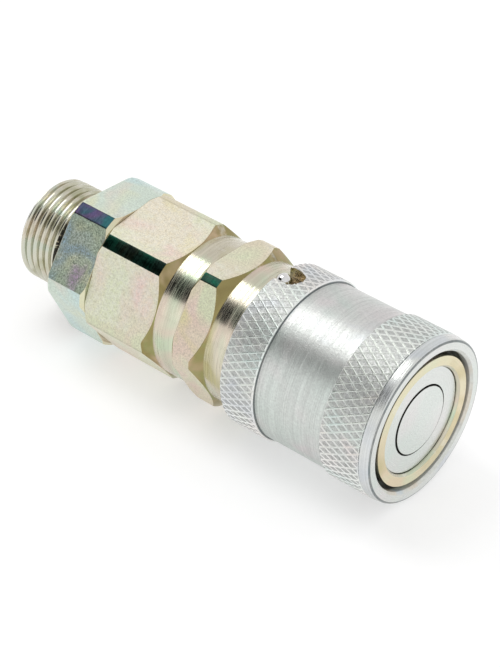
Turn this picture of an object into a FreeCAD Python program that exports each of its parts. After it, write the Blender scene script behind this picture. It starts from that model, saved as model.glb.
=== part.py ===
import FreeCAD, Part
import Sketcher
import math
import os
import re

# Female half of a flat-face hydraulic quick coupler with a push-to-connect locking sleeve.
# Every piece is turned about the X axis. X = 0 is the port shoulder, the face of the adapter's
# hexagon that seals against the port; +X points out of the coupling face and +Z through the
# lock ball. Lengths are millimetres, angles are degrees, and names ending in _r are radii.

# ---- Driving sizes: one spreadsheet cell each -------------------------------------------------

SIZES = {
    # port stud
    "thread_r": 13.5, "thread_chamfer": 1.2, "stud_length": 17.2, "port_bore_r": 9.0,
    "undercut_depth": 1.75, "undercut_length": 4.2, "port_ring_section": 2.9,
    # hexagons, all from one bar size, each turned to its own angle about the axis
    "across_flats": 37.0, "corner_trim": 0.9, "body_corner_trim": 0.6,
    "hex_chamfer": 0.85, "port_chamfer": 0.4, "body_hex_chamfer": 1.3,
    "adapter_hex": 12.1, "housing_hex": 21.5, "body_hex": 8.9,
    "adapter_turn": 28.8, "housing_turn": 40.4, "body_turn": 31.5,
    # port adapter's spigot inside the housing
    "adapter_spigot": 8.0, "adapter_cavity_r": 11.0, "adapter_wall": 3.9,
    "adapter_groove": 2.6, "adapter_groove_depth": 2.0, "adapter_groove_start": 2.6,
    # valve housing
    "neck_wall": 1.95, "neck_length": 7.1, "housing_socket": 9.8,
    # spider, stem and nut
    "spider_thickness": 5.0, "spider_hole_r": 2.9, "spider_hole_circle_r": 8.0, "spider_holes": 6,
    "stem_face_r": 8.75, "stem_shaft_r": 4.5, "stem_stud_r": 4.0, "stem_head": 7.2,
    "stem_taper": 6.5, "stem_recess": 0.7, "stem_edge": 0.2, "stem_stud_spare": 1.2,
    "stem_groove": 1.8, "stem_groove_depth": 1.45, "stem_groove_setback": 1.9,
    "nut_thickness": 6.5, "nut_across_flats": 13.0, "nut_corner_trim": 0.1, "nut_chamfer": 0.6,
    "lock_washer": 1.4, "lock_washer_width": 3.15,
    # socket body: spigot, collar and barrel
    "spigot_wall": 2.7, "spigot_groove": 3.0, "spigot_groove_depth": 1.45,
    "spigot_groove_setback": 1.9, "barrel_wall": 2.94, "barrel_edge": 0.3,
    "collar_step": 1.8, "collar_show": 7.2, "collar_under": 9.2, "probe_chamfer": 0.55,
    "seal_groove": 3.0, "seal_groove_depth": 1.42, "backup_thickness": 1.2,
    # locking balls and the ring that stops the sleeve
    "ball_r": 2.0, "ball_count": 12, "ball_setback": 10.4, "ball_wall": 1.04,
    "stop_ring": 1.2, "stop_ring_clearance": 0.25, "stop_ring_depth": 0.9, "stop_ring_gap": 3.4,
    # flat-face valve sleeve and its spring
    "valve_r": 13.5, "valve_wall": 2.1, "valve_length": 29.5, "valve_lip": 4.3,
    "valve_recess": 0.2, "valve_edge": 0.2, "flange_height": 1.4, "flange_thickness": 2.5,
    "valve_travel": 16.0, "valve_wire_r": 1.0, "valve_turns": 7.5,
    # locking sleeve, its washers and its spring
    "sleeve_length": 44.2, "sleeve_lead": 0.6, "sleeve_wall": 2.64, "knurl_height": 0.75,
    "rear_knurl": 10.2, "front_knurl": 11.4, "nose_length": 2.8, "nose_drop": 0.8,
    "rim_chamfer": 0.6, "rear_edge": 0.5, "relief_gap": 0.19, "land_length": 8.6,
    "pull_back": 2.8, "washer": 1.0, "washer_width": 1.4, "sleeve_wire_r": 0.6,
    "sleeve_turns": 4.5,
    # lock ball in the collar and the notch that takes it
    "lock_ball_r": 2.1, "lock_ball_sink": 0.1, "lock_ball_inset": 0.8,
    "notch_r": 3.2, "notch_depth": 6.4,
    # clearances
    "running_gap": 0.06, "fit_gap": 0.05, "seal_gap": 0.02, "stop_gap": 0.1,
    "coil_gap": 0.12, "coil_room": 0.3,
}

# ---- Places and radii worked out from the sizes -----------------------------------------------

PLACES = {
    # along the axis, from the port end to the small hexagon's front
    "thread_tip": "-stud_length",
    "thread_root": "-undercut_length",
    "housing_rear": "adapter_hex",
    "adapter_front": "adapter_hex + adapter_spigot",
    "adapter_groove_rear": "adapter_hex + adapter_groove_start",
    "adapter_groove_front": "adapter_groove_rear + adapter_groove",
    "spider_rear": "housing_rear + housing_socket",
    "spider_front": "spider_rear + spider_thickness",
    "washer_rear": "spider_rear - lock_washer",
    "nut_rear": "washer_rear - nut_thickness",
    "neck_rear": "housing_rear + housing_hex",
    "body_rear": "neck_rear + neck_length",
    "spigot_groove_front": "body_rear - spigot_groove_setback",
    "spigot_groove_rear": "spigot_groove_front - spigot_groove",
    "collar_rear": "body_rear + body_hex",
    # the sleeve at rest, and what stands under it
    "sleeve_rear": "collar_rear + collar_show",
    "sleeve_front": "sleeve_rear + sleeve_length",
    "collar_front": "sleeve_rear + collar_under",
    "body_front": "sleeve_front - sleeve_lead",
    "nose_rear": "sleeve_front - nose_length",
    "front_knurl_rear": "nose_rear - front_knurl",
    "rear_knurl_front": "sleeve_rear + rear_knurl",
    "lock_ball_x": "sleeve_rear + lock_ball_inset",
    "sleeve_stop": "collar_front + pull_back + stop_gap",
    "seat_front": "collar_front + washer",
    # the coupling face and the rings behind it
    "stem_face": "body_front - stem_recess",
    "stem_head_rear": "stem_face - stem_head",
    "stem_groove_front": "stem_face - stem_groove_setback",
    "stem_groove_rear": "stem_groove_front - stem_groove",
    "valve_face": "stem_face - valve_recess",
    "valve_lip_rear": "valve_face - valve_lip",
    "flange_front": "valve_face - valve_length",
    "flange_rear": "flange_front - flange_thickness",
    "flange_bore_front": "flange_front + stop_gap",
    "flange_bore_rear": "flange_rear - valve_travel - stop_gap",
    "ball_x": "body_front - ball_setback",
    "seal_front": "ball_x - ball_hole_r - ball_wall",
    "seal_rear": "seal_front - seal_groove",
    "stop_ring_rear": "ball_x + ball_hole_r + ball_wall",
    "stop_ring_front": "stop_ring_rear + stop_ring",
    # the sleeve's 45 degree ramp stands one running gap off the balls
    "ramp_rear": "ball_x - ball_centre_r + land_r - sqrt(2) * (ball_r + running_gap)",
    "ramp_front": "ramp_rear + relief_r - land_r",
    "land_rear": "ramp_rear - land_length",
    "thrust_rear": "land_rear - washer",
    # radii of the port end and the housing
    "undercut_r": "thread_r - undercut_depth",
    "sharp_corner_r": "across_flats / sqrt(3)",
    "corner_r": "sharp_corner_r - corner_trim",
    "body_corner_r": "sharp_corner_r - body_corner_trim",
    "adapter_spigot_r": "adapter_cavity_r + adapter_wall",
    "adapter_groove_r": "adapter_spigot_r - adapter_groove_depth",
    "adapter_socket_r": "adapter_spigot_r + fit_gap",
    "nut_corner_r": "nut_across_flats / sqrt(3) - nut_corner_trim",
    "stud_hole_r": "stem_stud_r + fit_gap",
    "lock_washer_r": "stud_hole_r + lock_washer_width",
    "stem_groove_r": "stem_face_r - stem_groove_depth",
    "spigot_r": "spigot_bore_r + spigot_wall",
    "spigot_groove_r": "spigot_r - spigot_groove_depth",
    "spigot_socket_r": "spigot_r + fit_gap",
    "neck_r": "spigot_socket_r + neck_wall",
    # radii round the valve sleeve, from the inside out
    "valve_bore_r": "stem_face_r + fit_gap",
    "valve_tube_r": "valve_r - valve_wall",
    "valve_spring_r": "valve_tube_r + valve_wire_r",
    "spigot_bore_r": "valve_spring_r + valve_wire_r + coil_room",
    "flange_r": "valve_r + flange_height",
    "flange_bore_r": "flange_r + running_gap",
    "probe_bore_r": "valve_r + running_gap",
    "seal_groove_r": "probe_bore_r + seal_groove_depth",
    "ball_hole_r": "ball_r + running_gap",
    "ball_centre_r": "valve_r + ball_r + running_gap",
    "barrel_r": "probe_bore_r + barrel_wall",
    "stop_ring_groove_r": "barrel_r - stop_ring_depth",
    "stop_ring_r": "relief_r - stop_ring_clearance",
    # radii of the locking sleeve and the collar under it
    "collar_r": "barrel_r + collar_step",
    "land_r": "barrel_r + running_gap",
    "relief_r": "ball_centre_r + ball_r + relief_gap",
    "washer_r": "barrel_r + washer_width",
    "pocket_r": "washer_r + fit_gap",
    "sleeve_spring_r": "barrel_r + coil_gap + sleeve_wire_r",
    "sleeve_bore_r": "collar_r + running_gap",
    "knurl_r": "sleeve_bore_r + sleeve_wall",
    "grip_r": "knurl_r - knurl_height",
    "nose_r": "knurl_r - nose_drop",
    "lock_ball_centre_r": "collar_r - lock_ball_sink",
    "lock_seat_r": "lock_ball_r + seal_gap",
}

doc = FreeCAD.newDocument("flat_face_coupler")
sheet = doc.addObject("Spreadsheet::Sheet", "sizes")
for row, (word, value) in enumerate(SIZES.items(), start=1):
    sheet.set(f"A{row}", word)
    sheet.set(f"B{row}", str(value))
    sheet.setAlias(f"B{row}", word)
doc.recompute()


def formula(text):
    """Write a size or place as an expression of the sheet's cells."""
    def cell(match):
        word = match.group(0)
        if word in PLACES:
            return "(" + formula(PLACES[word]) + ")"
        return "sizes." + word if word in SIZES else word
    return re.sub(r"[a-z_]+", cell, text)


# ---- Sketch helpers ---------------------------------------------------------------------------

def new_body(label):
    body = doc.addObject("PartDesign::Body", label)
    body.Label = label
    return body


def origin_feature(body, role):
    return next(item for item in body.Origin.OriginFeatures if item.Role == role)


def new_sketch(body, role, offset="0"):
    """A sketch on one of the body's origin planes, moved along the plane's normal."""
    sketch = body.newObject("Sketcher::SketchObject", body.Label + "_sketch")
    sketch.AttachmentSupport = [(origin_feature(body, role), "")]
    sketch.MapMode = "FlatFace"
    sketch.setExpression("AttachmentOffset.Base.z", formula(offset))
    return sketch


def bound(sketch, kind, *where, value):
    """Add a dimension to the sketch and bind it to the sheet."""
    index = sketch.addConstraint(Sketcher.Constraint(kind, *where, 1.0))
    sketch.setExpression(f"Constraints[{index}]", formula(value))


def pin_point(sketch, edge, point, across, up):
    """Dimension one point of the sketch from its origin."""
    bound(sketch, "DistanceX", -1, 1, edge, point, value=across)
    bound(sketch, "DistanceY", -1, 1, edge, point, value=up)


def draw_outline(sketch, points):
    """A closed outline of straight lines: a rough ring, pulled to its points by dimensions."""
    count = len(points)
    ring = [FreeCAD.Vector(math.cos(turn), math.sin(turn), 0)
            for turn in (2 * math.pi * step / count for step in range(count))]
    edges = [sketch.addGeometry(Part.LineSegment(ring[i], ring[(i + 1) % count])) for i in range(count)]
    for i, edge in enumerate(edges):
        sketch.addConstraint(Sketcher.Constraint("Coincident", edge, 2, edges[(i + 1) % count], 1))
    for edge, (across, up) in zip(edges, points):
        pin_point(sketch, edge, 1, across, up)


def draw_circle(sketch, across, up, radius):
    edge = sketch.addGeometry(Part.Circle(FreeCAD.Vector(1, 1, 0), FreeCAD.Vector(0, 0, 1), 1))
    pin_point(sketch, edge, 3, across, up)
    bound(sketch, "Radius", edge, value=radius)


# ---- Feature helpers --------------------------------------------------------------------------

def revolve(body, sketch):
    turned = body.newObject("PartDesign::Revolution", body.Label + "_turned")
    turned.Profile = sketch
    turned.ReferenceAxis = (sketch, ["H_Axis"])
    turned.Angle = 360
    doc.recompute()
    return body


def turned_piece(label, profile):
    """A piece turned about X from a half section of (x, radius) points."""
    body = new_body(label)
    sketch = new_sketch(body, "XZ_Plane")
    draw_outline(sketch, profile)
    return revolve(body, sketch)


def o_ring(label, centre, radius, section_r):
    """A round-section ring about X."""
    body = new_body(label)
    sketch = new_sketch(body, "XZ_Plane")
    draw_circle(sketch, centre, radius, section_r)
    return revolve(body, sketch)


def plain_ring(label, rear, front, inner, outer):
    return turned_piece(label, [(rear, inner), (rear, outer), (front, outer), (front, inner)])


def cut(body, sketch, length):
    """Cut the sketch's area away along the plane's normal and check that metal went."""
    before = body.Shape.Volume
    pocket = body.newObject("PartDesign::Pocket", body.Label + "_cut")
    pocket.Profile = sketch
    pocket.Reversed = True
    pocket.setExpression("Length", formula(length))
    doc.recompute()
    if not body.Shape.Volume < before:
        raise RuntimeError(f"{body.Label}: the cut took nothing away")
    return pocket


def mill_flats(body, rear, length, across, turn):
    """Mill six flats round a turned blank; turn is the first corner's angle from +Z to -Y."""
    sketch = new_sketch(body, "YZ_Plane", rear)
    corner = f"{across} / sqrt(3)"
    angles = [f"({turn} + {60 * step})" for step in range(6)]
    draw_outline(sketch, [(f"-{corner} * sin{angle}", f"{corner} * cos{angle}") for angle in angles])
    draw_circle(sketch, "0", "0", across)
    cut(body, sketch, length)


def drill_radial(body, centre, radius, floor):
    """Drill from outside down to the radius called floor, at +Z."""
    sketch = new_sketch(body, "XY_Plane", floor)
    draw_circle(sketch, centre, "0", radius)
    return cut(body, sketch, "knurl_r")


def repeat_round(body, feature, count):
    """Repeat a cut evenly round the X axis."""
    before = body.Shape.Volume
    pattern = body.newObject("PartDesign::PolarPattern", body.Label + "_pattern")
    pattern.Originals = [feature]
    pattern.Axis = (origin_feature(body, "X_Axis"), [""])
    pattern.Angle = 360
    pattern.setExpression("Occurrences", formula(count))
    body.Tip = pattern
    doc.recompute()
    if not body.Shape.Volume < before:
        raise RuntimeError(f"{body.Label}: the pattern took nothing away")


def coil_spring(label, rear, front, coil_r, wire_r, turns):
    """An open coil spring about X that just touches both its seats."""
    body = new_body(label)
    sketch = new_sketch(body, "XZ_Plane")
    draw_circle(sketch, f"{rear} + {wire_r}", coil_r, wire_r)
    doc.recompute()
    coil = body.newObject("PartDesign::AdditiveHelix", label + "_coil")
    coil.Profile = sketch
    coil.ReferenceAxis = (sketch, ["H_Axis"])
    coil.Mode = "height-turns-angle"
    coil.setExpression("Height", formula(f"{front} - {rear} - 2 * {wire_r}"))
    coil.setExpression("Turns", formula(turns))
    doc.recompute()
    return body


def ball(name, centre, centre_r, radius, angle):
    """A ball whose centre stands off the X axis, at an angle from +Z to -Y."""
    sphere = doc.addObject("Part::Sphere", name)
    sphere.setExpression("Radius", formula(radius))
    sphere.setExpression("Placement.Base.x", formula(centre))
    sphere.setExpression("Placement.Base.y", formula(f"-({centre_r}) * sin({angle})"))
    sphere.setExpression("Placement.Base.z", formula(f"({centre_r}) * cos({angle})"))
    return sphere


# ---- Port end ---------------------------------------------------------------------------------

def make_port_adapter():
    """Threaded stud, hexagon and the spigot that screws into the housing."""
    body = turned_piece("port_adapter", [
        ("thread_tip", "port_bore_r"),
        ("thread_tip", "thread_r - thread_chamfer"),
        ("thread_tip + thread_chamfer", "thread_r"),
        ("thread_root", "thread_r"),
        ("thread_root", "undercut_r"),
        ("0", "undercut_r"),
        ("0", "corner_r - port_chamfer"),
        ("port_chamfer", "corner_r"),
        ("adapter_hex - hex_chamfer", "corner_r"),
        ("adapter_hex", "corner_r - hex_chamfer"),
        ("adapter_hex", "adapter_spigot_r"),
        ("adapter_groove_rear", "adapter_spigot_r"),
        ("adapter_groove_rear", "adapter_groove_r"),
        ("adapter_groove_front", "adapter_groove_r"),
        ("adapter_groove_front", "adapter_spigot_r"),
        ("adapter_front", "adapter_spigot_r"),
        ("adapter_front", "adapter_cavity_r"),
        ("adapter_hex", "adapter_cavity_r"),
        ("adapter_hex - adapter_cavity_r + port_bore_r", "port_bore_r"),
    ])
    mill_flats(body, "0", "adapter_hex", "across_flats", "adapter_turn")
    return body


def make_port_rings():
    section_r = "(port_ring_section / 2)"
    port_ring = o_ring("port_o_ring", f"-{section_r}", f"undercut_r + {section_r}", section_r)
    groove_depth = "(adapter_socket_r - adapter_groove_r)"
    adapter_ring = o_ring("adapter_o_ring", "adapter_groove_rear + adapter_groove / 2",
                          f"adapter_groove_r + {groove_depth} / 2", f"{groove_depth} / 2 - seal_gap")
    return [port_ring, adapter_ring]


def make_valve_housing():
    """The long hexagon and its turned neck, a tube that joins the adapter to the socket body."""
    body = turned_piece("valve_housing", [
        ("housing_rear", "adapter_socket_r"),
        ("housing_rear", "corner_r - hex_chamfer"),
        ("housing_rear + hex_chamfer", "corner_r"),
        ("neck_rear - corner_r + neck_r", "corner_r"),
        ("neck_rear", "neck_r"),
        ("body_rear", "neck_r"),
        ("body_rear", "spigot_socket_r"),
        ("spider_rear", "spigot_socket_r"),
        ("spider_rear", "adapter_socket_r"),
    ])
    mill_flats(body, "housing_rear", "housing_hex", "across_flats", "housing_turn")
    return body


# ---- Stem -------------------------------------------------------------------------------------

def make_stem_spider():
    """The drilled plate that carries the stem and lets the oil through."""
    body = plain_ring("stem_spider", "spider_rear", "spider_front", "stud_hole_r", "spigot_r")
    sketch = new_sketch(body, "YZ_Plane", "spider_rear")
    draw_circle(sketch, "0", "spider_hole_circle_r", "spider_hole_r")
    repeat_round(body, cut(body, sketch, "spider_thickness"), "spider_holes")
    return body


def make_valve_stem():
    """The fixed stem whose head is the centre disc of the coupling face."""
    return turned_piece("valve_stem", [
        ("nut_rear - stem_stud_spare", "0"),
        ("nut_rear - stem_stud_spare", "stem_stud_r"),
        ("spider_front", "stem_stud_r"),
        ("spider_front", "stem_shaft_r"),
        ("stem_head_rear - stem_taper", "stem_shaft_r"),
        ("stem_head_rear", "stem_face_r"),
        ("stem_groove_rear", "stem_face_r"),
        ("stem_groove_rear", "stem_groove_r"),
        ("stem_groove_front", "stem_groove_r"),
        ("stem_groove_front", "stem_face_r"),
        ("stem_face - stem_edge", "stem_face_r"),
        ("stem_face", "stem_face_r - stem_edge"),
        ("stem_face", "0"),
    ])


def make_stem_fastening():
    washer = plain_ring("stem_lock_washer", "washer_rear", "spider_rear", "stud_hole_r", "lock_washer_r")
    nut = turned_piece("stem_nut", [
        ("nut_rear", "stud_hole_r"),
        ("nut_rear", "nut_corner_r - nut_chamfer"),
        ("nut_rear + nut_chamfer", "nut_corner_r"),
        ("washer_rear", "nut_corner_r"),
        ("washer_rear", "stud_hole_r"),
    ])
    mill_flats(nut, "nut_rear", "nut_thickness", "nut_across_flats", "0")
    depth = "(stem_face_r - stem_groove_r)"
    seal = o_ring("stem_seal", "stem_groove_front - stem_groove / 2",
                  f"stem_groove_r + {depth} / 2", f"{depth} / 2 - seal_gap / 2")
    return [washer, nut, seal]


# ---- Socket body ------------------------------------------------------------------------------

def make_socket_body():
    """Spigot, short hexagon, collar and the barrel that holds the locking balls."""
    body = turned_piece("socket_body", [
        ("spider_front", "spigot_bore_r"),
        ("spider_front", "spigot_r"),
        ("spigot_groove_rear", "spigot_r"),
        ("spigot_groove_rear", "spigot_groove_r"),
        ("spigot_groove_front", "spigot_groove_r"),
        ("spigot_groove_front", "spigot_r"),
        ("body_rear", "spigot_r"),
        ("body_rear", "body_corner_r - body_hex_chamfer"),
        ("body_rear + body_hex_chamfer", "body_corner_r"),
        ("collar_rear - body_corner_r + collar_r", "body_corner_r"),
        ("collar_rear", "collar_r"),
        ("collar_front", "collar_r"),
        ("collar_front", "barrel_r"),
        ("stop_ring_rear", "barrel_r"),
        ("stop_ring_rear", "stop_ring_groove_r"),
        ("stop_ring_front + fit_gap", "stop_ring_groove_r"),
        ("stop_ring_front + fit_gap", "barrel_r"),
        ("body_front - barrel_edge", "barrel_r"),
        ("body_front", "barrel_r - barrel_edge"),
        ("body_front", "probe_bore_r + probe_chamfer"),
        ("body_front - probe_chamfer", "probe_bore_r"),
        ("seal_front", "probe_bore_r"),
        ("seal_front", "seal_groove_r"),
        ("seal_rear", "seal_groove_r"),
        ("seal_rear", "probe_bore_r"),
        ("flange_bore_front", "probe_bore_r"),
        ("flange_bore_front", "flange_bore_r"),
        ("flange_bore_rear", "flange_bore_r"),
        ("flange_bore_rear", "spigot_bore_r"),
    ])
    mill_flats(body, "body_rear", "body_hex", "across_flats", "body_turn")
    repeat_round(body, drill_radial(body, "ball_x", "ball_hole_r", "0"), "ball_count")
    drill_radial(body, "lock_ball_x", "lock_seat_r", "lock_ball_centre_r - lock_ball_r")
    return body


def make_body_rings():
    """The seals, backup rings and spring ring that sit in the socket body's grooves."""
    def groove_ring(label, rear, front, inner, outer):
        """A round ring that fills its groove from inner to outer, at the groove's rear end."""
        section_r = f"(({outer}) - ({inner})) / 2 - seal_gap / 2"
        return o_ring(label, f"{rear} + {section_r} + seal_gap", f"(({outer}) + ({inner})) / 2", section_r)

    pieces = [
        groove_ring("housing_o_ring", "spigot_groove_rear", "spigot_groove_front",
                    "spigot_groove_r", "spigot_socket_r"),
        plain_ring("housing_backup_ring", "spigot_groove_front - backup_thickness",
                   "spigot_groove_front", "spigot_groove_r + seal_gap", "spigot_socket_r - seal_gap"),
        groove_ring("probe_o_ring", "seal_rear", "seal_front", "valve_r + seal_gap", "seal_groove_r"),
        plain_ring("probe_backup_ring", "seal_front - backup_thickness", "seal_front",
                   "valve_r + running_gap", "seal_groove_r - seal_gap"),
    ]
    stop_ring = plain_ring("sleeve_stop_ring", "stop_ring_rear", "stop_ring_front",
                           "stop_ring_groove_r + seal_gap", "stop_ring_r")
    gap = new_sketch(stop_ring, "XY_Plane", "-knurl_r")
    half = "stop_ring_gap / 2"
    draw_outline(gap, [("stop_ring_rear - washer", f"-{half}"), ("stop_ring_front + washer", f"-{half}"),
                       ("stop_ring_front + washer", half), ("stop_ring_rear - washer", half)])
    cut(stop_ring, gap, "knurl_r")
    return pieces + [stop_ring]


def make_balls():
    """The ring of locking balls, out on the valve sleeve, and the lock ball in the collar."""
    count = SIZES["ball_count"]
    spheres = [ball(f"ball_{i}", "ball_x", "ball_centre_r", "ball_r", f"{360 / count * i}")
               for i in range(count)]
    group = doc.addObject("Part::Compound", "locking_balls")
    group.Label = "locking_balls"
    group.Links = spheres
    lock_ball = ball("lock_ball", "lock_ball_x", "lock_ball_centre_r", "lock_ball_r", "0")
    lock_ball.Label = "lock_ball"
    return [group, lock_ball]


# ---- Moving pieces ----------------------------------------------------------------------------

def make_valve_sleeve():
    """The silver ring of the coupling face: a tube that the mating probe pushes in."""
    return turned_piece("valve_sleeve", [
        ("flange_rear", "valve_tube_r"),
        ("flange_rear", "flange_r"),
        ("flange_front", "flange_r"),
        ("flange_front", "valve_r"),
        ("valve_face - valve_edge", "valve_r"),
        ("valve_face", "valve_r - valve_edge"),
        ("valve_face", "valve_bore_r + valve_edge"),
        ("valve_face - valve_edge", "valve_bore_r"),
        ("valve_lip_rear", "valve_bore_r"),
        ("valve_lip_rear - valve_tube_r + valve_bore_r", "valve_tube_r"),
    ])


def make_locking_sleeve():
    """The grip sleeve: bore, spring pocket, ball land, ramp and relief, with the lock notch."""
    body = turned_piece("locking_sleeve", [
        ("sleeve_rear", "sleeve_bore_r"),
        ("sleeve_rear", "knurl_r - rear_edge"),
        ("sleeve_rear + rear_edge", "knurl_r"),
        ("rear_knurl_front", "knurl_r"),
        ("rear_knurl_front", "grip_r"),
        ("front_knurl_rear", "grip_r"),
        ("front_knurl_rear", "knurl_r"),
        ("nose_rear", "knurl_r"),
        ("sleeve_front", "nose_r"),
        ("sleeve_front", "relief_r + rim_chamfer"),
        ("sleeve_front - rim_chamfer", "relief_r"),
        ("ramp_front", "relief_r"),
        ("ramp_rear", "land_r"),
        ("land_rear", "land_r"),
        ("land_rear", "pocket_r"),
        ("sleeve_stop", "pocket_r"),
        ("sleeve_stop", "sleeve_bore_r"),
    ])
    notch_centre = "sleeve_rear + notch_depth - notch_r"
    slot = new_sketch(body, "XY_Plane")
    draw_outline(slot, [("sleeve_rear - washer", "-notch_r"), (notch_centre, "-notch_r"),
                        (notch_centre, "notch_r"), ("sleeve_rear - washer", "notch_r")])
    cut(body, slot, "knurl_r + washer")
    drill_radial(body, notch_centre, "notch_r", "0")
    return body


def make_springs_and_seats():
    seat = plain_ring("spring_seat", "collar_front", "seat_front", "barrel_r + seal_gap", "washer_r")
    thrust = plain_ring("thrust_washer", "thrust_rear", "land_rear - seal_gap", "land_r", "washer_r")
    sleeve_spring = coil_spring("sleeve_spring", "seat_front", "thrust_rear",
                                "sleeve_spring_r", "sleeve_wire_r", "sleeve_turns")
    valve_spring = coil_spring("valve_spring", "spider_front", "flange_rear",
                               "valve_spring_r", "valve_wire_r", "valve_turns")
    return [seat, thrust, sleeve_spring, valve_spring]


pieces = [make_port_adapter(), *make_port_rings(), make_valve_housing(),
          make_stem_spider(), make_valve_stem(), *make_stem_fastening(),
          make_socket_body(), *make_body_rings(), *make_balls(),
          make_valve_sleeve(), make_locking_sleeve(), *make_springs_and_seats()]
doc.recompute()

# ---- Check and write --------------------------------------------------------------------------

for item in doc.Objects:
    if "Invalid" in item.State or "Error" in item.State:
        raise RuntimeError(f"{item.Label} failed: {item.State}")
for piece in pieces:
    if piece.Shape.isNull() or not piece.Shape.isValid():
        raise RuntimeError(f"{piece.Label} has no valid shape")

os.makedirs("parts", exist_ok=True)
for piece in pieces:
    piece.Shape.exportStep(f"parts/{piece.Label}.step")
    box = piece.Shape.BoundBox
    print(f"{piece.Label}: {len(piece.Shape.Solids)} solid(s), {piece.Shape.Volume:.0f} mm3, "
          f"x {box.XMin:.2f} to {box.XMax:.2f}, y {box.YMin:.2f} to {box.YMax:.2f}")
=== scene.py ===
"""Looks of a flat-face quick coupler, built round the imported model.

Everything is turned about the X axis. X = 0 is the port shoulder, +X points out of the coupling
face and +Z through the lock ball. Outlines and sizes are written in millimetres. A groove is its
rear, its front and its floor's radius; a band its rear, its front and its half diamonds; a spring
the radius of its coil, the radius of its wire and its turns.
"""

import logging
import math
from collections.abc import Callable, Iterator
from contextlib import contextmanager
from dataclasses import dataclass, field
from enum import Enum

import bmesh
import bpy
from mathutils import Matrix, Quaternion, Vector


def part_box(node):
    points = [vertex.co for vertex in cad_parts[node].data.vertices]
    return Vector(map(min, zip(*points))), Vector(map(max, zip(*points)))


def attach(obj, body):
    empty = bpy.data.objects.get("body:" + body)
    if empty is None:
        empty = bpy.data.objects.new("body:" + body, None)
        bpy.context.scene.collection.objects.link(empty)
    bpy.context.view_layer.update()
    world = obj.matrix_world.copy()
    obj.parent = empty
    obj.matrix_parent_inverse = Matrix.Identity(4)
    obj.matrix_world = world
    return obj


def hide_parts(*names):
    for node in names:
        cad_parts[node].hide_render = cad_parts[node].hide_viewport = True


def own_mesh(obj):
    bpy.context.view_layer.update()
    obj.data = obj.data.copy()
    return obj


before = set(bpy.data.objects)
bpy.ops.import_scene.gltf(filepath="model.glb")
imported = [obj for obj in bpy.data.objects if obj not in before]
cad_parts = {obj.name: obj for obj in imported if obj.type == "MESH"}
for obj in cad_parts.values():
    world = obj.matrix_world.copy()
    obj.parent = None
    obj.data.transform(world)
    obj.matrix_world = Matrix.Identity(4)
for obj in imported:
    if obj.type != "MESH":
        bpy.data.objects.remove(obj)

MM = 0.001
WELD = 0.0005 * MM
CLOSE = 0.01
STEPS = 144
COIL_STEPS = 48
THREAD_STEPS = 96
LINE_DRIFT = 40.0
BUMP_HEIGHT = 0.01 * MM
# Where the seams' painted shade starts along X, and the steepest wall it covers.
SEAM_REAR = 96.0
SEAM_SLOPE = 0.9
SMOOTH_ANGLE = math.radians(40)
AXIS = (1.0, 0.0, 0.0)

Point = tuple[float, float]
Colour = tuple[float, float, float]
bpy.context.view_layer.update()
log = logging.getLogger("coupler")


class Body(str, Enum):
    """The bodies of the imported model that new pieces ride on."""

    COUPLER = "coupler_body"
    SLEEVE = "locking_sleeve"
    VALVE = "valve_sleeve"


class Slot(str, Enum):
    """Material slot names, which no piece in this script is given."""

    YELLOW = "yellow_zinc_steel"
    SILVER = "silver_zinc_steel"
    SPRING = "spring_steel"
    BALL = "ball_steel"
    RUBBER = "black_rubber"


class Skin(Enum):
    """The kinds of surface on a bar-stock piece, in the order of its material slots."""

    TURNED = 0
    FLAT = 1
    CORNER = 2
    BEVEL = 3
    # The flat that faces the camera; on the stud it takes painted shade.
    STAINED = 4
    END = 5


class Grip(Enum):
    """The kinds of surface on the locking sleeve, in the order of its material slots."""

    BRUSHED = 0
    KNURLED = 1
    FACE = 2
    NOSE = 3
    # Painted shade on the small steps.
    STEP = 4
    # Painted highlight in the knurl's grooves.
    GROOVE = 5
    MOUTH = 6
    # Painted shade and painted reflection on the notch walls.
    NOTCH = 7


# ---- Mesh work --------------------------------------------------------------------------------

def low_x(node: str) -> float:
    """Rear end of a node, in millimetres."""
    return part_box(node)[0].x / MM


def high_x(node: str) -> float:
    """Front end of a node, in millimetres."""
    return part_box(node)[1].x / MM


def high_z(node: str) -> float:
    """Outer radius of a turned node, in millimetres."""
    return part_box(node)[1].z / MM


def pick_only(obj: bpy.types.Object) -> None:
    """Make one object the only selected and active one."""
    bpy.ops.object.select_all(action="DESELECT")
    obj.select_set(True)
    bpy.context.view_layer.objects.active = obj


@contextmanager
def editing(obj: bpy.types.Object) -> Iterator[None]:
    """Edit mode on one object, with everything in it selected."""
    pick_only(obj)
    bpy.ops.object.mode_set(mode="EDIT")
    bpy.ops.mesh.select_mode(type="VERT")
    bpy.ops.mesh.select_all(action="SELECT")
    yield
    bpy.ops.object.mode_set(mode="OBJECT")


def pick(obj: bpy.types.Object, part: str, test: Callable[..., bool]) -> None:
    """Select some of the mesh under edit.

    Args:
        obj: the object in edit mode.
        part: "verts", "edges" or "faces".
        test: says whether one of them is selected.
    """
    bpy.ops.mesh.select_all(action="DESELECT")
    mode = {"verts": "VERT", "edges": "EDGE", "faces": "FACE"}[part]
    bpy.ops.mesh.select_mode(type=mode)
    mesh = bmesh.from_edit_mesh(obj.data)
    for element in getattr(mesh, part):
        if test(element):
            element.select_set(True)
    mesh.select_flush_mode()
    bmesh.update_edit_mesh(obj.data)


def add_modifier(obj: bpy.types.Object, kind: str, **settings: object) -> None:
    """Add a modifier, set it and apply it."""
    pick_only(obj)
    modifier = obj.modifiers.new(kind.lower(), kind)
    for word, value in settings.items():
        setattr(modifier, word, value)
    bpy.ops.object.modifier_apply(modifier=modifier.name)


def weld(obj: bpy.types.Object) -> None:
    """Merge doubles and turn the faces outwards."""
    with editing(obj):
        bpy.ops.mesh.remove_doubles(threshold=WELD)
        bpy.ops.mesh.normals_make_consistent(inside=False)


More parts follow.
